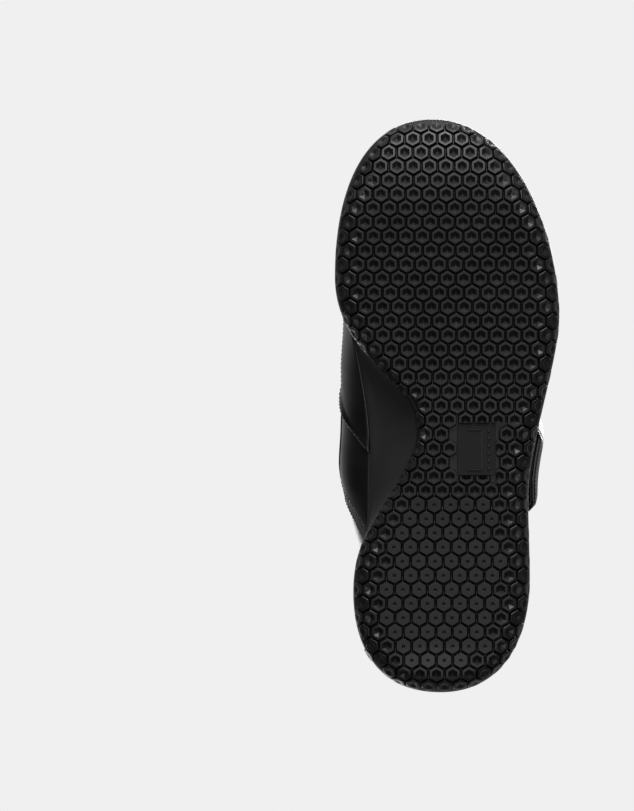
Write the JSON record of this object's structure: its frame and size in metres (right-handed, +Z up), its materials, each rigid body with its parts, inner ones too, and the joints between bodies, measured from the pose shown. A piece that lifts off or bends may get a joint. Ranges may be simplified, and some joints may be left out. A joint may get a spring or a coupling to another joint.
{
  "type": "bowling shoe",
  "caption": "Low-cut black leather strap shoe for the left foot: hexagon-lugged rubber sole cut away under the arch, foam midsole, padded collar, hook-and-loop instep strap.",
  "frame": {"origin": "centre of the bounding box on the ground under the sole", "axes": "+Z up, toe towards -Y, heel towards +Y, outer (lateral) side towards +X"},
  "size_m": [0.1126, 0.288, 0.1026],
  "materials": {
    "outsole_rubber": "satin moulded rubber",
    "midsole_foam": "matte moulded foam",
    "smooth_leather": "smooth black leather, satin",
    "ribbed_fabric": "ribbed black webbing",
    "lining_fabric": "matte knit lining",
    "padding_foam": "open foam",
    "stiffener_board": "matte fibre board",
    "shank_steel": "spring steel",
    "hook_and_loop": "fuzzy hook-and-loop tape"
  },
  "bodies": {
    "upper": {"outsole": "outsole_rubber", "midsole": "midsole_foam", "shank": "shank_steel", "insole_board": "stiffener_board", "heel_cushion": "padding_foam", "sockliner": "lining_fabric", "vamp": "smooth_leather", "toe_puff": "stiffener_board", "vamp_lining": "lining_fabric", "inner_quarter": "smooth_leather", "outer_quarter": "smooth_leather", "quarter_lining": "lining_fabric", "counter_stiffener": "stiffener_board", "collar_pad": "padding_foam", "inner_front_overlay": "smooth_leather", "inner_rear_overlay": "smooth_leather", "inner_ribbed_band": "ribbed_fabric", "outer_front_overlay": "smooth_leather", "heel_overlay": "smooth_leather", "heel_pull_tab": "ribbed_fabric", "loop_patch": "hook_and_loop"},
    "strap": {"strap": "smooth_leather", "strap_lining": "lining_fabric", "hook_patch": "hook_and_loop"},
    "tongue": {"tongue_cover": "smooth_leather", "tongue_foam": "padding_foam", "tongue_lining": "lining_fabric"}
  },
  "joints": [
    {"name": "strap_lift", "type": "hinge", "parent": "upper", "child": "strap", "pos_m": [-0.0524, 0.018, 0.0499], "axis": [0, -0.986, -0.167], "range_deg": [0, 100]},
    {"name": "tongue_lift", "type": "hinge", "parent": "upper", "child": "tongue", "pos_m": [-0.001, -0.0466, 0.0655], "axis": [1, 0, 0], "range_deg": [0, 20]}
  ],
  "couplings": [
    {"joint": "tongue_lift", "follows": "strap_lift", "ratio": 0.2}
  ]
}
